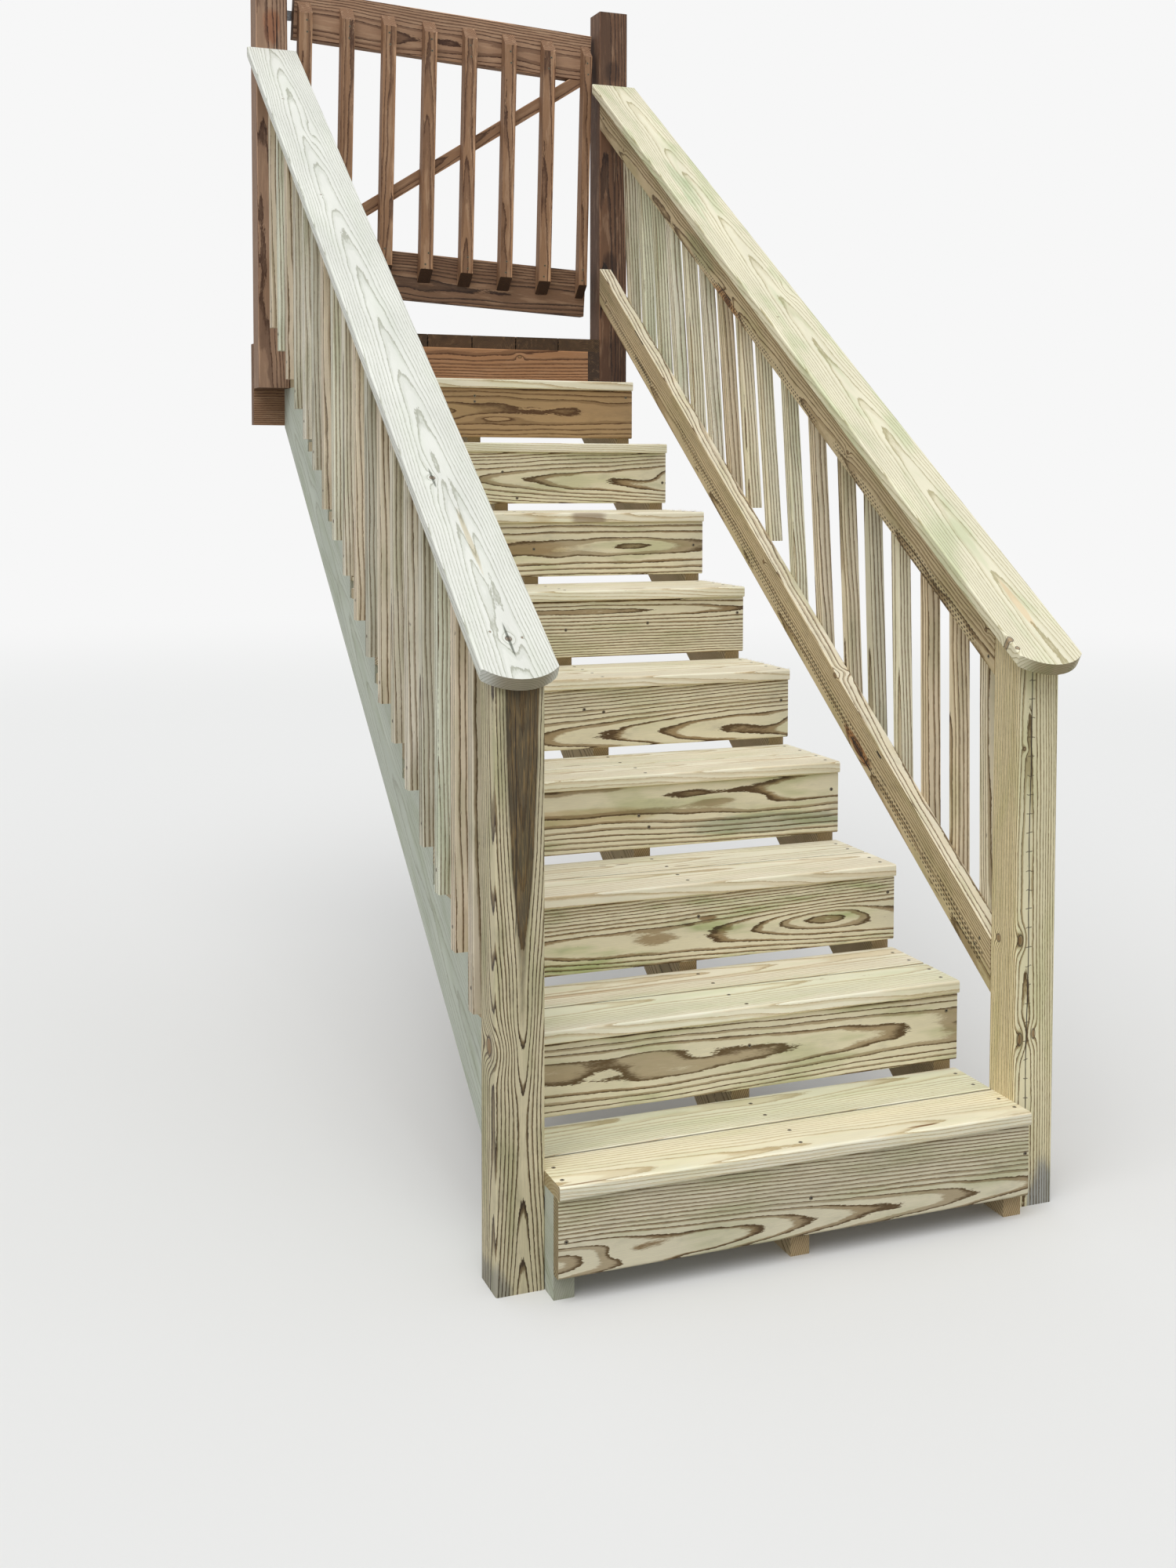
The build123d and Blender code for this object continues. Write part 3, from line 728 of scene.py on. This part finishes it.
# %% Sticks with their own grain
def sticks_from(node, name, foot_shift):
    """A copy of a node of separate sticks, with grain and stick attributes and uneven feet."""
    points, triangles, island = joined_mesh(node)
    order = np.argsort([points[island == i, 1].mean() for i in range(island.max() + 1)])
    grain, stick, ends = np.zeros_like(points), np.zeros(len(points)), []
    for place, number in enumerate(order):
        own = island == number
        corner = points[own]
        middle = (corner.max(0) + corner.min(0)) / 2
        upward = main_axis(corner, positive=2)
        upward[0] = 0
        upward /= np.linalg.norm(upward)
        across = np.cross(upward, (1, 0, 0))
        reach = (corner - middle) @ np.stack([upward, across, (1, 0, 0)]).T
        foot = reach[:, 0] < 0
        corner[foot] += upward * foot_shift[place] / 1000
        reach[foot, 0] += foot_shift[place] / 1000
        points[own], grain[own], stick[own] = corner, reach * 1000, place
        ends.append((middle, upward, reach[:, 0].min(), reach[:, 0].max()))
    piece = new_piece(name, points, triangles, "stairs")
    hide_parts(node)
    give_attribute(piece, "grain", "FLOAT_VECTOR", "vector", grain)
    give_attribute(piece, "stick", "FLOAT", "value", stick)
    print(name, "has", len(order), "sticks")
    return piece, ends


left_feet = [0, 2, 4, -7, 5, 4, -8, 0, -9, 5, 2, -8, 6, 4, 4, 5, 6, -4]
right_feet = np.random.default_rng(4).uniform(-4, 6, 17)
stick_ends = {}
stick_tones = {"left": dict(seed=2.0, early=(255, 252, 240), late=(192, 178, 156)),
               "right": dict(seed=5.5, early=(255, 250, 233), late=(184, 166, 138))}
for side, feet in (("left", left_feet), ("right", right_feet)):
    sticks, stick_ends[side] = sticks_from(f"{side}_balusters", f"{side}_baluster_sticks", feet)
    look = timber(f"{side}_balusters", None, half=(600, 16, 16), pith=(0, -34), year=8.2, wander=14, contrast=1.05,
                  bloom=0.6, bloom_tint=(216, 222, 208), spread=0.9, bark=0.85, specks=0.7, fibre=0.14, dirt=0.15,
                  **stick_tones[side])
    sticks.data.materials.append(look)

# %% [markdown]
# The old timber at the head of the flight has lost its smooth face. The soft
# early wood has worn back, the stain is left in the hollows, and high places
# are rubbed pale. That calls for a darker pair of colours, more relief, and a
# wear mask that follows the grain.

# %% Old stained timber
old = dict(early=(160, 123, 93), late=(116, 84, 61), contrast=0.85, bloom=0.0, wear=0.35, relief=0.0012, fibre=0.3,
           year=4.4, wander=10, roughness=0.78, wear_tint=(198, 164, 134), specks=0.6, edge_tint=(142, 118, 98),
           rub_and_sheen=0.5)
head_posts = {
    "left": dict(seed=1.9, early=(164, 132, 108), late=(108, 80, 62), checks=[(120, -14, 760, 2.5)],
                 stains_and_shade=[(440, 0, 60, 30, 0.6, (236, 176, 130))]),
    "right": dict(seed=4.2, early=(120, 88, 66), late=(64, 44, 32), checks=[(100, -6, 500, 2.0)],
                  stains_and_shade=[(402, 4, 40, 30, 0.5, (110, 92, 84)), (-185, 12, 50, 30, 0.7, (90, 72, 62)),
                          (-500, 0, 120, 70, 0.6, (130, 110, 100))]),
}
for side in ("left", "right"):
    dress_board(f"{side}_head_post", Z, front, pith=(30, -50), **{**old, **head_posts[side]})
    dress_board(f"{side}_head_block", Y, Z, seed=6.1, pith=(5, 20),
                **{**old, "early": (96, 76, 62), "late": (46, 36, 30)})
dress_board("head_fascia", X, front, seed=3.3, pith=(70, -60), knots=[(217, 43, 5, 1.4)],
            **{**old, "early": (172, 128, 92), "late": (106, 72, 46), "year": 6.0, "wear": 0.2})
dress_board("deck_rim", X, front, seed=5.7, pith=(40, -90), **old)
deck_board, deck_pitch, deck_count = 132, 135.86, 7
dress_board("deck_board_ends", Y, Z, row=(deck_pitch, deck_count), width=deck_board, seed=8.8, pith=(0, -30),
            spread=1.0, **{**old, "early": (128, 102, 80), "late": (50, 38, 30), "dirt": 0.6})

# %% [markdown]
# The gate is a moving body, so its pattern has to travel with it. Object
# coordinates do that by themselves: the gate's pieces are measured in the rest
# pose, and turn as a whole.

# %% Gate
along_gate, along_brace = (main_axis(corners_of(node)) * (1, 0, 1) for node in ("gate_top_rail", "gate_brace"))
rail_tones = {"top": dict(seed=2.6, early=(176, 140, 112), wear=0.6),
              "bottom": dict(seed=7.2, early=(134, 103, 80), late=(86, 62, 46))}
for level, tones in rail_tones.items():
    dress_board(f"gate_{level}_rail", along_gate, front, pith=(-20, -46),
                **{**old, "wander": 16, "year": 6.0, "contrast": 1.0, **tones})
dress_board("gate_brace", along_brace, front, seed=9.5, pith=(10, -30), **old)
leaning = radians(1.4)
upright = (sin(leaning), 0, cos(leaning))
pale_width, pale_count = 38, 8
pale_pitch = (2 * board_frame("gate_balusters", upright, front)["half"][1] - pale_width) / (pale_count - 1)
# foot darkens the downward faces of the pales' feet: painted shade.
dress_board("gate_balusters", upright, front, row=(pale_pitch, pale_count), width=pale_width, seed=6.4,
            pith=(0, -30), jitter=30, foot=(110, 96, 84), **{**old, "wear": 0.5})
print("gate pales every", round(pale_pitch, 1), "mm")

# %% [markdown]
# The hinges are dull galvanised steel: a grey metal with a faint patchwork of
# zinc crystals.

# %% Hinges
steel, wires = new_material("galvanised")
place = wires.node("ShaderNodeTexCoord", output=3)
flakes = place.node("ShaderNodeTexVoronoi", {"Vector": place, "Scale": 220.0}, output=1)
zinc = blend(paint(128, 130, 132), paint(158, 160, 162), along_axis(flakes, (1, 0, 0)))
finish_material(wires, zinc, along_axis(flakes, (0, 0.25, 0)) + 0.4, along_axis(flakes, (0, 0, 1)), 0.0001,
                Metallic=1.0)
for node in ("post_hinge_plates", "gate_hinge_straps"):
    dress(node, steel)

# %% [markdown]
# Nothing here would hold without its fastenings. Deck screws were driven a
# little below the surface, three places along each board, over the stringers;
# the gate was nailed. At this size a screw is a dished disc, and the shade in its
# recess is painted dark. Each is the same few rings of a circle, so one numpy
# table of places and directions makes them all. A ring number goes with every
# corner and colours the head; the recess and the edge round it are painted
# shade.


# %% Screws and nails
ring_shares = np.array([0.0, 0.38, 0.5, 0.86, 1.0])              # rings of a head, as shares of its radius
ring_heights = np.array([0.10, 0.12, 0.38, 0.45, 0.04]) / 1000    # and how far each stands proud, in metres
head_sides = 12


def mottled(wires, size):
    """Noise with lumps of one size-th of a metre, for pieces too small for a board's pattern."""
    where = wires.node("ShaderNodeTexCoord", output=3)
    return cloud(where.node("ShaderNodeVectorMath", {0: where, 1: (size,) * 3}, operation="MULTIPLY"), 2.0)


def heads(name, spots, radius, body):
    """Dished discs: p = place + r (cos a, sin a) + h normal, for rings r, h that fall to a recess in the middle."""
    place, normal = (np.array(part, float) for part in zip(*spots))
    side_way = np.cross(normal, (0.31, 0.9, 0.3))
    side_way /= np.linalg.norm(side_way, axis=1)[:, None]
    other_way = np.cross(normal, side_way)
    angle = np.arange(head_sides) * 2 * np.pi / head_sides
    circle = np.cos(angle)[:, None, None] * side_way + np.sin(angle)[:, None, None] * other_way
    points = (place + radius / 1000 * ring_shares[:, None, None, None] * circle
              + ring_heights[:, None, None, None] * normal).transpose(2, 0, 1, 3)
    ring, turn = np.meshgrid(np.arange(len(ring_shares) - 1), np.arange(head_sides), indexing="ij")
    here, onward = ring * head_sides + turn, ring * head_sides + (turn + 1) % head_sides
    quad = np.stack([here, here + head_sides, onward + head_sides, onward], -1).reshape(-1, 4)
    first = np.arange(len(place)) * len(ring_shares) * head_sides
    faces = (quad + first[:, None, None]).reshape(-1, 4)
    piece = new_piece(name, points.reshape(-1, 3), faces, body)
    give_attribute(piece, "share", "FLOAT", "value", np.tile(np.repeat(ring_shares, head_sides), len(place)))
    material, wires = new_material(name)
    share = wires.node("ShaderNodeAttribute", attribute_name="share", output=2)
    grime = mottled(wires, 900)
    metal = blend(paint(112, 98, 74), paint(150, 138, 112), step(grime, -0.2, 0.2))
    # The recess and the edge ring are painted shade: the shadow in the drive and round the sunk head.
    colour = blend(paint(26, 22, 18), metal, step(share, 0.42, 0.6))
    colour = blend(colour, paint(70, 58, 42), step(share, 0.85, 1.0))
    finish_material(wires, colour, grime * 0.3 + 0.5, grime, 0.0001)
    piece.data.materials.append(material)
    return len(place)


def on_board(frame, marks):
    """Places and directions on a board's face for marks given along and across it in millimetres."""
    along, across, through = frame["axes"]
    face = frame["middle"] + through * frame["half"][2] / 1000
    return [(face + (along * s + across * u) / 1000, through) for s, u in marks]


riser_screws = {1: [(466, 14), (9, -1), (-459, -5)], 2: [(448, 34), (7, 16), (-452, 30)],
                3: [(458, 35), (12, 23), (-455, 18)], 4: [(456, 31), (-18, 4), (6, -23), (-456, 20)],
                5: [(455, 20), (-3, 14), (-51, 22)], 6: [(457, 29), (-5, -1), (211, 10), (-450, 12)],
                7: [(447, 7), (-1, 2), (-452, 20)], 8: [(464, -13), (-4, 16), (37, -55), (-455, 10)],
                9: [(454, 50), (-5, 47), (-5, 31), (-455, 48)]}
over_planks, across_tread = [-455, 2, 455], [-112, -48, 34, 104]   # rows of screws, in millimetres
from_foot, from_top, half_stick = 0.045, 0.05, 0.016                # a stick's screws, in metres
spots = []
chance = np.random.default_rng(11)
for number, marks in riser_screws.items():
    spots += on_board(board_frame(f"riser_{number}", X, front), marks)
    columns = np.repeat(over_planks, 4) + chance.uniform(-5, 5, 12)
    rows = np.tile(across_tread, 3) + chance.uniform(-9, 9, 12)
    spots += on_board(board_frame(f"tread_{number}", X, Z), zip(columns, rows))
for side, outward in (("left", -1), ("right", 1)):
    for middle, upward, low, high in stick_ends[side]:
        for reach in (low + from_foot, high - from_top):
            place = middle + upward * reach + np.array([outward * half_stick, chance.uniform(-4, 4) / 1000, 0])
            spots.append((place, (outward, 0, 0)))
inner = board_frame("right_bottom_rail", slope_of("right_bottom_rail"), left_side)
spots += on_board(inner, [(1279, 14), (-1290, 8), (-1296, -16)])
upper = board_frame("right_top_rail", slope_of("right_top_rail"), left_side)
spots += on_board(upper, [(-1319, 25), (1290, 6)])
print("deck screws", heads("deck_screws", spots, 4.2, "stairs"))

# %% [markdown]
# The saw left fibres standing on the right ends of four treads. Each one is a
# spike with three sides, the fewest that still close a shape. A bump in the
# material could not do this, because it never changes an outline, and these
# show against the background.


# %% Splinters
spike_radius = 0.0005    # metres


def splinters(name, treads, count):
    """Spikes on the right ends of treads: a ring of three points round each root, and one tip."""
    roots, tips = [], []
    for number in treads:
        board = board_frame(f"tread_{number}", X, Z)
        corner = board["middle"] + np.array([board["half"][0], 0, board["half"][2] - 1.5]) / 1000
        over_end = chance.uniform(-138, 138, count) / 1000
        place = corner + np.stack([np.zeros(count), over_end, np.zeros(count)], 1)
        outward, sideways, upward = (chance.uniform(low, high, count) for low, high in ((0.5, 7), (-5, 5), (0, 8)))
        roots.append(place)
        tips.append(place + np.stack([outward, sideways, upward], 1) / 1000)
    roots, tips = np.concatenate(roots), np.concatenate(tips)
    angle = np.arange(3) * 2 * np.pi / 3
    ring = np.stack([0 * angle - 0.3, np.cos(angle), np.sin(angle)], 1) * spike_radius
    points = np.concatenate([roots[:, None] + ring, tips[:, None]], 1).reshape(-1, 3)
    spike = np.array([(0, 1, 3), (1, 2, 3), (2, 0, 3), (0, 2, 1)])
    faces = (spike + np.arange(len(roots))[:, None, None] * 4).reshape(-1, 3)
    piece = new_piece(name, points, faces, "stairs")
    material, wires = new_material(name)
    mottle = mottled(wires, 300)
    colour = blend(paint(226, 208, 170), paint(250, 240, 212), mottle + 0.5)
    finish_material(wires, colour, mottle * 0.1 + 0.8, mottle, 0.0001)
    piece.data.materials.append(material)
    return len(roots)


print("splinters", splinters("splinters", (5, 6, 7, 8), 60))

# %% [markdown]
# The gate's pales were nailed, twice at the foot and twice at the head. They
# lean with the sagged gate, so their nails are counted along the lean from the
# middle of each pale's front face. The nails ride on the gate.

# %% Nails of the gate
corners, _, pale_of = joined_mesh("gate_balusters")
nail_heights = (-0.5, -0.45, 0.44, 0.49)    # shares of a pale's height, from its middle
nails = []
for number in range(pale_of.max() + 1):
    own = corners[pale_of == number]
    face = own[own[:, 1] < own[:, 1].min() + 0.001]
    height = face[face[:, 2].argmax(), 2] - face[face[:, 2].argmin(), 2]
    for share in nail_heights:
        off = np.array([chance.uniform(-5, 5) / 1000, 0, 0])
        nails.append((face.mean(0) + np.array(upright) * height * share * 0.96 + off, (0, -1, 0)))
print("gate nails", heads("gate_nails", nails, 3.4, "gate"))

# %% [markdown]
# The stage is a pale floor at the level of the posts' feet and an even, bright
# sky. The light is that of a grey day: most of it comes from everywhere, and a
# wide soft lamp from above makes the tops of the boards a little brighter than
# their fronts. Far away the floor fades into the white of the background, so
# that no horizon cuts through the picture.

# %% Stage and light
def seen_directly(wires):
    """1 for rays from the camera, and for mirrored and see-through ones, so that metal shows the same background."""
    camera_ray, glossy, clear = (wires.node("ShaderNodeLightPath", output=place) for place in (0, 3, 6))
    either = glossy.math("MAXIMUM", glossy, clear)
    return either.math("MAXIMUM", camera_ray, either)


floor_mesh = bpy.data.meshes.new("floor")
floor_half, fade_from, fade_to = 40.0, 5.0, 12.0
floor_corners = [(x * floor_half, y * floor_half, ground) for x, y in ((-1, -1), (1, -1), (1, 1), (-1, 1))]
floor_mesh.from_pydata(floor_corners, [], [(0, 1, 2, 3)])
placed("floor", floor_mesh)
ground_material, wires = new_material("pale_floor")
place = wires.node("ShaderNodeTexCoord", output=3)
distance = place.node("ShaderNodeVectorMath", {0: place, 1: (1, 1, 0)}, operation="MULTIPLY")
distance = distance.node("ShaderNodeVectorMath", {0: distance}, output=1, operation="LENGTH")
eye = seen_directly(wires)
soil = blend((0.30, 0.29, 0.27, 1), (0.86, 0.86, 0.85, 1), eye)
matte = wires.node("ShaderNodeBsdfDiffuse", {"Color": soil})
white = wires.node("ShaderNodeEmission", {"Color": (0.93, 0.93, 0.93, 1), "Strength": 1.0})
far = wires.node("ShaderNodeMixShader", {0: step(distance, fade_from, fade_to) * eye, 1: matte, 2: white})
wires.tree.links.new(far.socket, wires.tree.nodes.new("ShaderNodeOutputMaterial").inputs["Surface"])
floor_mesh.materials.append(ground_material)

world = bpy.data.worlds.new("sky")
bpy.context.scene.world = world
world.use_nodes = True
world.node_tree.nodes.clear()
wires = Wire(world.node_tree)
light = wires.node("ShaderNodeBackground", {"Color": (0.98, 0.99, 1.0, 1), "Strength": 0.66})
backdrop = wires.node("ShaderNodeBackground", {"Color": (0.93, 0.93, 0.93, 1), "Strength": 1.0})
both = wires.node("ShaderNodeMixShader", {0: seen_directly(wires), 1: light, 2: backdrop})
world.node_tree.links.new(both.socket, world.node_tree.nodes.new("ShaderNodeOutputWorld").inputs["Surface"])

lamp_data = bpy.data.lights.new("soft_lamp", "SUN")
lamp_data.energy, lamp_data.angle = 1.25, radians(50)
lamp = placed("soft_lamp", lamp_data)
lamp.rotation_euler = Vector((0.35, 0.45, -0.9)).to_track_quat("-Z", "Y").to_euler()
bpy.context.scene.view_settings.view_transform = "Standard"
